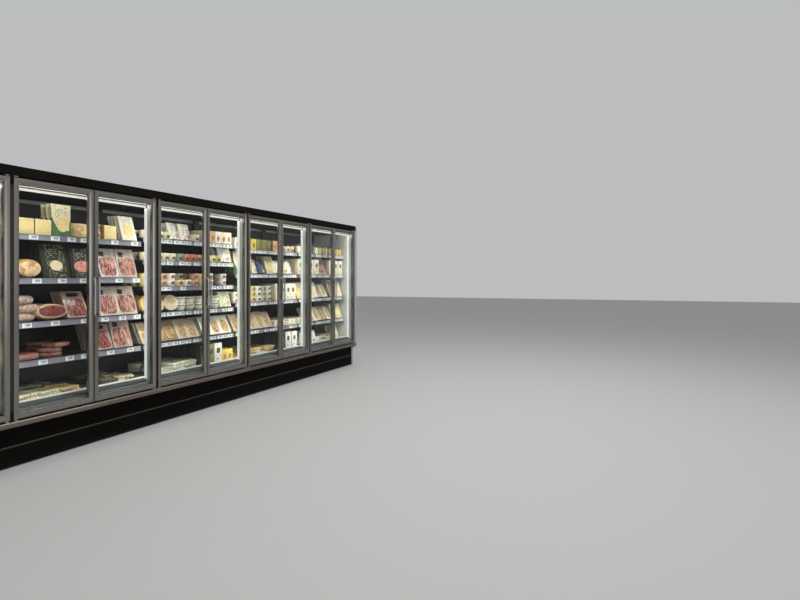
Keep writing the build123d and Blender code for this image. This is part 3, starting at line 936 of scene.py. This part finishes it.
def keep_model(kind, piece, finish, facing, step, lean=0.0, tiers=1, rows=3, lying=False, turn=4.0):
    """File a finished model with how it is set out on a shelf.

    facing is the width it takes and step the depth, lean how far it leans back and turn how
    far it may be turned, in degrees. tiers and rows are the most that stand on and behind it.
    """
    smooth_below = math.radians(40)
    map_front(piece)
    if lying:
        piece.data.transform(Matrix.Rotation(math.radians(-90), 4, "X"))
        settle(piece)
    piece.data.materials.append(finish)
    bpy.ops.object.select_all(action="DESELECT")
    piece.select_set(True)
    bpy.context.view_layer.objects.active = piece
    bpy.ops.object.shade_smooth_by_angle(angle=smooth_below)
    corners = [vertex.co for vertex in piece.data.vertices]
    models[kind] = {
        "piece": piece, "facing": facing, "step": step, "lean": math.radians(lean), "tiers": tiers,
        "rows": rows, "turn": turn,
        "grounds": len(finish.node_tree.nodes["Color Ramp"].color_ramp.elements),
        "height": max(corner.z for corner in corners),
        "depth": max(corner.y for corner in corners),
        "half_width": max(abs(corner.x) for corner in corners),
    }


def upright_box(name, width, depth, height, edge, segments=2):
    """A box that stands on the shelf with its front at depth 0."""
    piece = new_slab(name, (-width / 2, 0, 0), (width / 2, depth, height))
    apply_bevel(piece, edge, segments)
    return piece


def upright_drum(name, radius, height, edge, sides=24, top_radius=None):
    """A drum or a tub that stands on the shelf with its front at depth 0."""
    bpy.ops.object.select_all(action="DESELECT")
    top_radius = top_radius or radius
    bpy.ops.mesh.primitive_cone_add(
        vertices=sides, radius1=radius, radius2=top_radius, depth=height,
        location=(0, max(radius, top_radius), height / 2),
    )
    piece = bpy.context.object
    piece.name = name
    bpy.ops.object.transform_apply(location=True, rotation=True, scale=True)
    apply_bevel(piece, edge)
    return piece


def lying_drum(name, radius, height, edge, sides, stretch=(1.0, 1.0, 1.0)):
    """A drum that stands on its rim with its flat end to the front, stretched in X, Y and Z."""
    piece = upright_drum(name, radius, height, edge, sides)
    piece.data.transform(Matrix.Rotation(math.radians(90), 4, "X"))
    settle(piece)
    piece.data.transform(Matrix.Diagonal((*stretch, 1.0)))
    return piece


cheese_yellow = ((0.68, 0.52, 0.21), (0.77, 0.62, 0.30))
cream = ((0.60, 0.48, 0.28), (0.74, 0.63, 0.42))
golden = ((0.30, 0.15, 0.04), (0.66, 0.48, 0.24))
block_finish = printed_pack(
    "cheese_block", [(0.76, 0.63, 0.30), (0.71, 0.57, 0.27), (0.78, 0.67, 0.35)], cheese_yellow,
    ((0.5, 0.5), (0.42, 0.40)), (0.70, 0.54, 0.24), squareness=8.0, side=(0.34, 0.20, 0.08),
)
block = upright_box("cheese_block", 0.125, 0.09, 0.118, edge=0.008)
keep_model("block", block, block_finish, facing=0.136, step=0.10)

wedge_height = 0.15
wedge_narrowing = 0.75
wedge_slant = 0.3
wedge = upright_box("cheese_wedge", 0.14, 0.045, wedge_height, edge=0.004, segments=1)
for vertex in wedge.data.vertices:
    rise = vertex.co.z / wedge_height
    vertex.co.x = vertex.co.x * (1.0 - wedge_narrowing * rise) + wedge_slant * vertex.co.z
wedge_finish = printed_pack(
    "cheese_wedge", [(0.78, 0.65, 0.35), (0.78, 0.72, 0.56), (0.74, 0.57, 0.25)], cream,
    ((0.4, 0.3), (0.3, 0.22)), (0.30, 0.32, 0.14), squareness=3.0,
)
keep_model("wedge", wedge, wedge_finish, facing=0.145, step=0.05, lean=12)

loaf = lying_drum("golden_loaf", 0.070, 0.15, edge=0.045, sides=28, stretch=(1.43, 1.0, 1.0))
loaf_finish = printed_pack(
    "golden_loaf", [(0.60, 0.36, 0.13), (0.66, 0.43, 0.18)], ((0.36, 0.17, 0.05), (0.74, 0.55, 0.30)),
    ((0.5, 0.5), (0.44, 0.42)), (0.4, 0.2, 0.05), squareness=2.0, film=0.2, swirl=3.0, spread=(-1.1, 2.2),
)
keep_model("loaf", loaf, loaf_finish, facing=0.20, step=0.16, rows=2)

low_cheese = upright_drum("low_cheese", 0.085, 0.115, edge=0.02, sides=28)
low_cheese_finish = printed_pack(
    "low_cheese", [(0.78, 0.61, 0.25), (0.66, 0.46, 0.24)], ((0.52, 0.30, 0.14), (0.78, 0.62, 0.34)),
    ((0.35, 0.5), (0.28, 0.35)), (0.4, 0.2, 0.08), squareness=2.0, swirl=7.0, spread=(-1.6, 2.4),
)
keep_model("low_cheese", low_cheese, low_cheese_finish, facing=0.18, step=0.18, rows=2)

wheel = lying_drum("round_cheese", 0.078, 0.045, edge=0.010, sides=28)
wheel_finish = printed_pack(
    "round_cheese", [(0.68, 0.49, 0.19), (0.64, 0.50, 0.27), (0.66, 0.58, 0.40)],
    ((0.30, 0.14, 0.06), (0.66, 0.52, 0.32)), ((0.5, 0.56), (0.26, 0.16)), (0.36, 0.18, 0.07),
    squareness=2.0, swirl=9.0,
)
keep_model("wheel", wheel, wheel_finish, facing=0.155, step=0.06, lean=14, turn=16)

# Sliced meat and cheese packs. Flat skin packs of clear film over a coloured card, leant back
# in rows, each with a window on the slices, and slabs of bacon and ham laid flat.
pack_edge = 0.006
side_gap = 0.012
row_gap = 0.014


def leaning_pack(kind, width, height, thickness, lean, finish):
    """A flat pack that leans back in rows of four."""
    pack = upright_box(kind, width, thickness, height, pack_edge)
    keep_model(kind, pack, finish, facing=width + side_gap, step=thickness + row_gap, lean=lean, rows=4)


pink_slices = ((0.44, 0.085, 0.065), (0.76, 0.40, 0.33))
red_slices = ((0.07, 0.006, 0.006), (0.38, 0.12, 0.095))
marbled = (-1.5, 2.3)
upright_grain = (1.5, 1.0, 0.4)
leaning_pack("meat", 0.188, 0.258, 0.018, lean=18, finish=printed_pack(
    "meat_pack", [(0.46, 0.41, 0.36), (0.36, 0.28, 0.24), (0.50, 0.45, 0.40)],
    ((0.10, 0.008, 0.007), (0.58, 0.29, 0.22)), ((0.5, 0.38), (0.43, 0.31)), (0.16, 0.13, 0.12),
    squareness=4.2, film=0.4, roughness=0.3, mark=((0.28, 0.80), (0.13, 0.09)),
    spread=marbled, drawn=upright_grain,
))
leaning_pack("red_meat", 0.195, 0.225, 0.022, lean=24, finish=printed_pack(
    "red_meat_pack", [(0.36, 0.26, 0.22), (0.40, 0.31, 0.27)], red_slices,
    ((0.5, 0.40), (0.42, 0.34)), (0.3, 0.2, 0.2), film=0.4, roughness=0.25, swirl=6.0,
    mark=((0.5, 0.87), (0.28, 0.075)), spread=marbled, drawn=upright_grain,
))
bacon_finish = printed_pack(
    "bacon_pack", [(0.24, 0.14, 0.09), (0.28, 0.18, 0.12)], ((0.06, 0.008, 0.007), (0.40, 0.15, 0.11)),
    ((0.5, 0.5), (0.45, 0.45)), (0.3, 0.1, 0.1), squareness=5.0, roughness=0.3, swirl=7.0, spread=marbled,
)
bacon = lying_drum("bacon", 0.098, 0.034, edge=0.013, sides=20, stretch=(1.0, 1.0, 0.85))
keep_model("bacon", bacon, bacon_finish, facing=0.22, step=0.18, tiers=3, rows=2, lying=True, turn=25)
ham_slab = upright_box("ham_slab", 0.21, 0.05, 0.17, edge=0.018)
keep_model("ham_slab", ham_slab, bacon_finish.copy(), facing=0.22, step=0.18, rows=2, lying=True, turn=10)
leaning_pack("sleeve", 0.235, 0.262, 0.022, lean=12, finish=printed_pack(
    "dark_sleeve", [(0.022, 0.022, 0.017), (0.027, 0.026, 0.020)], cream,
    ((0.5, 0.36), (0.22, 0.155)), (0.30, 0.27, 0.16), squareness=2.0, film=0.0, roughness=0.5, glint=0.15,
))
leaning_pack("meat_sleeve", 0.205, 0.238, 0.022, lean=12, finish=printed_pack(
    "dark_meat_sleeve", [(0.022, 0.022, 0.020), (0.027, 0.024, 0.022)], pink_slices,
    ((0.5, 0.38), (0.36, 0.19)), (0.36, 0.34, 0.30), squareness=2.2, film=0.0, roughness=0.5, glint=0.15,
))
leaning_pack("cheese_pack", 0.155, 0.225, 0.02, lean=18, finish=printed_pack(
    "cheese_pack", [(0.70, 0.61, 0.41), (0.79, 0.76, 0.67), (0.40, 0.41, 0.22)], cheese_yellow,
    ((0.5, 0.40), (0.31, 0.24)), (0.13, 0.13, 0.08), squareness=5.0, spread=(-1.2, 2.2),
))
leaning_pack("golden_pack", 0.142, 0.205, 0.024, lean=28, finish=printed_pack(
    "golden_pack", [(0.56, 0.49, 0.37), (0.29, 0.21, 0.12), (0.77, 0.74, 0.64)], golden,
    ((0.5, 0.42), (0.36, 0.32)), (0.2, 0.12, 0.04), squareness=2.6, film=0.4, spread=marbled,
))

# Pouches and bags. Printed film with a folded base, filled with grated cheese or slices, and
# heat sealed along a flat top edge, so that they are thick near the foot and thin at the top.


def filled_bag(name, width, height, thickness):
    """A cube cut into strips, drawn in towards its seal and its sides."""
    seal_part = 0.06
    belly_curve = 2.2
    side_thinning = 0.55
    side_curve = 3
    waist = 0.05
    bag = new_slab(name, (-width / 2, 0, 0), (width / 2, thickness, height))
    bpy.ops.object.mode_set(mode="EDIT")
    bpy.ops.mesh.select_all(action="SELECT")
    bpy.ops.mesh.subdivide(number_cuts=6)
    bpy.ops.object.mode_set(mode="OBJECT")
    for vertex in bag.data.vertices:
        rise = vertex.co.z / height
        across = abs(vertex.co.x) / (width / 2)
        fill = max(seal_part, (1 - rise ** belly_curve) * (1 - side_thinning * across ** side_curve))
        vertex.co.y = thickness / 2 + (vertex.co.y - thickness / 2) * fill
        vertex.co.x *= 1 - waist * math.sin(rise * math.pi)
    return bag


pouch_finish = printed_pack(
    "pouch", [(0.69, 0.64, 0.46), (0.72, 0.68, 0.53)], cheese_yellow, ((0.56, 0.40), (0.30, 0.22)),
    (0.16, 0.17, 0.10), squareness=9.0, roughness=0.3, foot=((0.045, 0.12, 0.035), 0.13),
)
pouch = filled_bag("pouch", 0.160, 0.245, 0.045)
keep_model("pouch", pouch, pouch_finish, facing=0.172, step=0.055, lean=2, turn=2)
bag_finish = printed_pack(
    "small_bag", [(0.79, 0.77, 0.70), (0.77, 0.69, 0.50), (0.62, 0.65, 0.45), (0.035, 0.05, 0.11)],
    ((0.36, 0.09, 0.08), (0.70, 0.48, 0.40)), ((0.62, 0.20), (0.18, 0.12)), (0.12, 0.16, 0.12),
    squareness=2.5, film=0.4, roughness=0.3, marks=(5.0, 7.0),
)
small_bag = filled_bag("small_bag", 0.18, 0.165, 0.07)
keep_model("bag", small_bag, bag_finish, facing=0.16, step=0.07, lean=10, turn=22)

# Tubs, bowls and jars. Thin moulded plastic cups and small glass jars, printed or labelled,
# shut with a lid, and some of them stacked one on another.
small_print = {"swirl": 9.0, "marks": (5.0, 6.0)}


def add_lid(piece, rim, rise):
    """Draw the top face in and up into a lid with a lip."""
    level_within = 1e-5
    facing_up = 0.9
    top = max(vertex.co.z for vertex in piece.data.vertices)
    bpy.ops.object.mode_set(mode="EDIT")
    bpy.ops.mesh.select_all(action="DESELECT")
    bpy.ops.object.mode_set(mode="OBJECT")
    for face in piece.data.polygons:
        face.select = face.center.z > top - level_within and face.normal.z > facing_up
    bpy.ops.object.mode_set(mode="EDIT")
    bpy.ops.mesh.select_mode(type="FACE")
    bpy.ops.mesh.inset(thickness=rim)
    bpy.ops.mesh.extrude_region_move(TRANSFORM_OT_translate={"value": (0, 0, rise)})
    bpy.ops.object.mode_set(mode="OBJECT")


tub_finish = printed_pack(
    "tub",
    [
        (0.79, 0.75, 0.65), (0.66, 0.68, 0.37), (0.28, 0.35, 0.28),
        (0.56, 0.22, 0.11), (0.66, 0.47, 0.17), (0.77, 0.68, 0.48),
    ],
    ((0.02, 0.018, 0.012), (0.24, 0.12, 0.06)), ((0.5, 0.40), (0.22, 0.20)), (0.12, 0.10, 0.08),
    squareness=3.0, film=0.2, **small_print,
)
tub = upright_drum("tub", 0.036, 0.070, edge=0.002, sides=20, top_radius=0.044)
add_lid(tub, rim=0.002, rise=0.003)
keep_model("tub", tub, tub_finish, facing=0.096, step=0.095)

stacked_finish = printed_pack(
    "stacked_tub",
    [(0.79, 0.75, 0.65), (0.60, 0.36, 0.23), (0.06, 0.055, 0.045), (0.70, 0.56, 0.24), (0.40, 0.43, 0.32)],
    ((0.02, 0.016, 0.012), (0.34, 0.20, 0.12)), ((0.5, 0.50), (0.25, 0.26)), (0.14, 0.10, 0.08),
    squareness=3.0, film=0.2, **small_print,
)
stacked_tub = upright_drum("stacked_tub", 0.043, 0.058, edge=0.002, sides=20, top_radius=0.048)
add_lid(stacked_tub, rim=0.002, rise=0.003)
high_tub = moved_copy(stacked_tub, Matrix.Identity(4))
keep_model("stacked_tub", stacked_tub, stacked_finish, facing=0.104, step=0.10, tiers=2)
keep_model("high_tub", high_tub, stacked_finish.copy(), facing=0.104, step=0.10, tiers=3)

bowl_finish = printed_pack(
    "bowl", [(0.79, 0.75, 0.66), (0.71, 0.70, 0.59), (0.77, 0.74, 0.66)],
    ((0.10, 0.07, 0.035), (0.44, 0.36, 0.22)), ((0.5, 0.78), (0.52, 0.10)), (0.3, 0.3, 0.2),
    squareness=4.0, film=0.2, **small_print,
)
bowl = upright_drum("bowl", 0.040, 0.062, edge=0.003, top_radius=0.060)
add_lid(bowl, rim=0.003, rise=0.004)
keep_model("bowl", bowl, bowl_finish, facing=0.128, step=0.125, tiers=2, rows=2)

jar_finish = printed_pack(
    "jar",
    [(0.70, 0.47, 0.13), (0.78, 0.73, 0.60), (0.06, 0.05, 0.035), (0.39, 0.40, 0.14), (0.44, 0.15, 0.07)],
    ((0.05, 0.045, 0.04), (0.14, 0.12, 0.09)), ((0.5, 0.90), (0.6, 0.12)), (0.60, 0.56, 0.44),
    squareness=8.0, roughness=0.25, marks=(5.0, 6.0),
)
jar = upright_drum("jar", 0.036, 0.105, edge=0.006, sides=20)
add_lid(jar, rim=0.004, rise=0.012)
keep_model("jar", jar, jar_finish, facing=0.080, step=0.08)

# Cartons. Card boxes, printed, folded and glued, with one panel to the front. They stand side
# by side, the small ones in close rows and the tall ones apart.
carton_finish = printed_pack(
    "carton",
    [
        (0.78, 0.69, 0.48), (0.74, 0.57, 0.09), (0.79, 0.76, 0.68),
        (0.66, 0.40, 0.19), (0.20, 0.21, 0.07), (0.02, 0.03, 0.08),
    ],
    ((0.06, 0.04, 0.02), (0.60, 0.30, 0.14)), ((0.5, 0.42), (0.26, 0.20)), (0.14, 0.10, 0.06),
    squareness=2.6, film=0.1, roughness=0.45, **small_print,
)
carton = upright_box("carton", 0.085, 0.06, 0.125, edge=0.003)
keep_model("carton", carton, carton_finish, facing=0.092, step=0.066)
tall_finish = printed_pack(
    "tall_carton", [(0.79, 0.76, 0.68), (0.21, 0.22, 0.06), (0.78, 0.70, 0.51), (0.035, 0.04, 0.035)],
    ((0.02, 0.02, 0.025), (0.10, 0.09, 0.07)), ((0.5, 0.62), (0.24, 0.15)), (0.07, 0.09, 0.14),
    squareness=2.0, film=0.1, roughness=0.45, **small_print,
)
tall_carton = upright_box("tall_carton", 0.105, 0.075, 0.205, edge=0.004)
keep_model("tall_carton", tall_carton, tall_finish, facing=0.115, step=0.085)

# Sausages, ham and flat packs. Air-dried salamis in a white net stacked like logs, half hams
# stood with the cut face to the front, and trays of slices laid flat in piles.
salami = upright_drum("salami", 0.032, 0.15, edge=0.018, sides=16)
salami.data.transform(Matrix.Rotation(math.radians(90), 4, "Y"))
settle(salami)
salami_finish = printed_pack(
    "salami", [(0.34, 0.24, 0.19), (0.42, 0.32, 0.26)], ((0.16, 0.06, 0.04), (0.56, 0.44, 0.37)),
    ((0.5, 0.5), (0.48, 0.45)), (0.4, 0.2, 0.15), squareness=8.0, film=0.0, roughness=0.5, swirl=9.0,
    side=(0.34, 0.12, 0.09),
)
keep_model("salami", salami, salami_finish, facing=0.155, step=0.066, tiers=3, turn=20)

ham = lying_drum("ham", 0.13, 0.15, edge=0.035, sides=32, stretch=(1.0, 1.0, 0.46))
ham_finish = printed_pack(
    "ham", [(0.62, 0.44, 0.24), (0.58, 0.40, 0.21)], ((0.055, 0.006, 0.006), (0.27, 0.062, 0.05)),
    ((0.5, 0.54), (0.43, 0.36)), (0.6, 0.4, 0.3), squareness=2.3, roughness=0.3,
)
keep_model("ham", ham, ham_finish, facing=0.25, step=0.16, lean=4, rows=2)

flat_finish = printed_pack(
    "flat_pack",
    [(0.64, 0.46, 0.19), (0.70, 0.61, 0.41), (0.54, 0.56, 0.40), (0.05, 0.05, 0.04), (0.78, 0.75, 0.66)],
    ((0.16, 0.10, 0.05), (0.62, 0.52, 0.34)), ((0.5, 0.5), (0.34, 0.30)), (0.2, 0.18, 0.12),
    squareness=2.6, film=0.4, roughness=0.3, swirl=9.0,
)
flat_pack = upright_box("flat_pack", 0.16, 0.022, 0.12, edge=0.006)
keep_model("flat", flat_pack, flat_finish, facing=0.19, step=0.15, tiers=2, lying=True, turn=30)
pile_pack = upright_box("pile_pack", 0.15, 0.026, 0.12, edge=0.007)
keep_model("pile", pile_pack, flat_finish.copy(), facing=0.165, step=0.14, tiers=3, lying=True, turn=20)

# Stock. What stands in each bay, from the deck up to the top shelf and from left to right, as
# the photograph shows it. Each kind comes with its number of facings, or with the colour of
# each facing as a number in the finish's list, and stands in rows one behind another.
stock = {
    1: (
        (("flat", (1, 2, 0, 1)), ("tall_carton", (0, 2)), ("flat", (2,)), ("gap", 2)),
        (("bacon", 1), ("ham_slab", 1), ("gap", 1), ("red_meat", 2), ("gap", 1), ("cheese_pack", 1)),
        (("salami", 1), ("meat", 3), ("gap", 1), ("low_cheese", 1), ("bowl", 1), ("gap", 1)),
        (("cheese_pack", 2), ("gap", 1), ("meat_sleeve", 1), ("sleeve", 1), ("meat", 2)),
        (("block", 3), ("low_cheese", 1), ("pouch", 2), ("gap", 1), ("block", 2)),
    ),
    2: (
        (("gap", 3), ("flat", (1, 2, 0)), ("gap", 4), ("flat", (3, 1)), ("gap", 1)),
        (
            ("gap", 2), ("ham_slab", 1), ("gap", 1), ("bacon", 1), ("gap", 3), ("red_meat", 1),
            ("meat", (1,)), ("gap", 1),
        ),
        (("salami", 2), ("ham", 1), ("red_meat", 1), ("gap", 2), ("meat", (0, 2))),
        (("gap", 3), ("loaf", 1), ("sleeve", 1), ("meat_sleeve", 1), ("gap", 1), ("meat", (2, 0))),
        (
            ("block", 3), ("pouch", 1), ("low_cheese", 1), ("stacked_tub", (1,)), ("block", 1),
            ("gap", 1), ("cheese_pack", (1,)),
        ),
    ),
    3: (
        (("gap", 4), ("pile", (2, 4, 2)), ("gap", 1), ("tall_carton", (3, 1, 0)), ("carton", (1, 1))),
        (("golden_pack", (0, 1, 1, 0, 0)), ("gap", 1), ("golden_pack", (2, 2, 2))),
        (("wheel", 3), ("bowl", (0, 1, 0, 0, 2)), ("bag", (2,))),
        (("stacked_tub", (3, 0, 1, 0, 3, 0, 1, 3)), ("stacked_tub", (0, 2, 0)), ("gap", 1)),
        (("tub", (5, 1, 0, 5, 1, 2, 3, 3, 3)), ("gap", 1), ("tub", (4, 1, 4)), ("bag", (0,))),
        (("tub", (0, 1, 0, 1)), ("bag", (0, 0)), ("tub", (0,)), ("gap", 1), ("carton", (0, 3, 2, 0, 2))),
    ),
    4: (
        (("flat", (0,)), ("pile", (0, 1, 0)), ("gap", 2), ("tall_carton", (3, 0, 0))),
        (("golden_pack", (0, 1, 0, 0, 0)), ("gap", 1), ("pile", (4, 1, 4))),
        (("stacked_tub", (0, 4, 0)), ("high_tub", (3, 0, 4, 0)), ("gap", 1), ("tall_carton", (2, 0, 0, 2))),
        (("pouch", 1), ("pouch", 1), ("bag", (1, 3)), ("cheese_pack", (0,)), ("bag", (0, 1, 0))),
        (("carton", (2, 0, 3, 1, 4, 4, 4)), ("gap", 1), ("carton", (3, 1)), ("tub", (4, 0, 5))),
    ),
    5: (
        (("gap", 2), ("bag", (0, 0)), ("pile", (4, 2)), ("gap", 1), ("pile", (1,)), ("bag", (1,))),
        (
            ("pile", (1, 4)), ("golden_pack", (0, 2, 0)), ("gap", 1), ("golden_pack", (2,)),
            ("cheese_pack", (2, 0)),
        ),
        (
            ("cheese_pack", (0, 2, 1)), ("golden_pack", (0, 2)), ("gap", 1), ("meat", 1),
            ("cheese_pack", (1,)),
        ),
        (("tall_carton", (2, 2, 2, 2)), ("meat", 1), ("gap", 1), ("tall_carton", (2, 0, 2))),
        (("jar", (1, 1, 2, 1, 2, 1, 3, 3, 3)), ("gap", 1), ("jar", (0, 1, 0, 0))),
    ),
}
gap_facing = 0.05
end_gap = 0.015
front_gap = 0.012
back_gap = 0.01
shelf_headroom = 0.075
canopy_headroom = 0.05
foot_gap = 0.001
sold_share = 0.15
lean_play = 1.5
side_play = 0.003
depth_play = 0.004
deck_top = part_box("deck_trays")[1].z
deck_front_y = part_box("deck_lips")[1].y + front_gap
shelf_front_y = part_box("shelves")[0].y + front_gap
shelf_back_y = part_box("shelves")[1].y - back_gap


def fill_section(kind, x_span, front_y, floor_z, ceiling_z, tones):
    """Places for one kind in a section of a shelf: facings, rows behind, and tiers."""
    model = models[kind]
    pitch = (x_span[1] - x_span[0]) / len(tones)
    height = model["height"]
    room = shelf_back_y - front_y - height * math.sin(model["lean"])
    tiers = min(model["tiers"], int((ceiling_z - floor_z) / height))
    places = []
    for facing, tone in enumerate(tones):
        for row in range(min(model["rows"], int(room / model["step"]))):
            for tier in range(max(1, tiers - (row == 0 and chance.random() < sold_share))):
                lean = model["lean"] + math.radians(chance.uniform(-lean_play, lean_play))
                turn = math.radians(chance.uniform(-1, 1) * model["turn"])
                x = x_span[0] + (facing + 0.5) * pitch + chance.uniform(-side_play, side_play)
                y = front_y + row * model["step"] + chance.uniform(0, depth_play)
                y += model["half_width"] * abs(math.sin(turn))
                lift = model["depth"] * math.sin(max(lean, 0)) + tier * height
                place = Matrix.Translation((x, y, floor_z + lift + foot_gap))
                place = place @ Matrix.Rotation(turn, 4, "Z") @ Matrix.Rotation(-lean, 4, "X")
                places.append((model["piece"], place, tone))
    return places


for bay in bays:
    low, high = bay_span(bay)
    floors = [deck_top] + shelf_tops(bay)
    ceilings = [top - shelf_headroom for top in floors[1:]] + [canopy_low.z - canopy_headroom]
    for level, sections in enumerate(stock[bay]):
        rows = [(kind, range(asked) if isinstance(asked, int) else asked) for kind, asked in sections]
        widths = [(gap_facing if kind == "gap" else models[kind]["facing"]) * len(row) for kind, row in rows]
        stretch = (high - low - 2 * end_gap) / sum(widths)
        x = low + end_gap
        places = []
        for (kind, row), width in zip(rows, widths):
            x_span = (x, x + width * stretch)
            if kind != "gap":
                grounds = models[kind]["grounds"]
                places += fill_section(
                    kind, x_span, shelf_front_y if level else deck_front_y, floors[level], ceilings[level],
                    [(number % grounds + 0.5) / grounds for number in row],
                )
            x += width * stretch
        set_out(f"bay_{bay}_{f'shelf_{level}' if level else 'deck'}_goods", places)
for model in models.values():
    bpy.data.objects.remove(model["piece"])
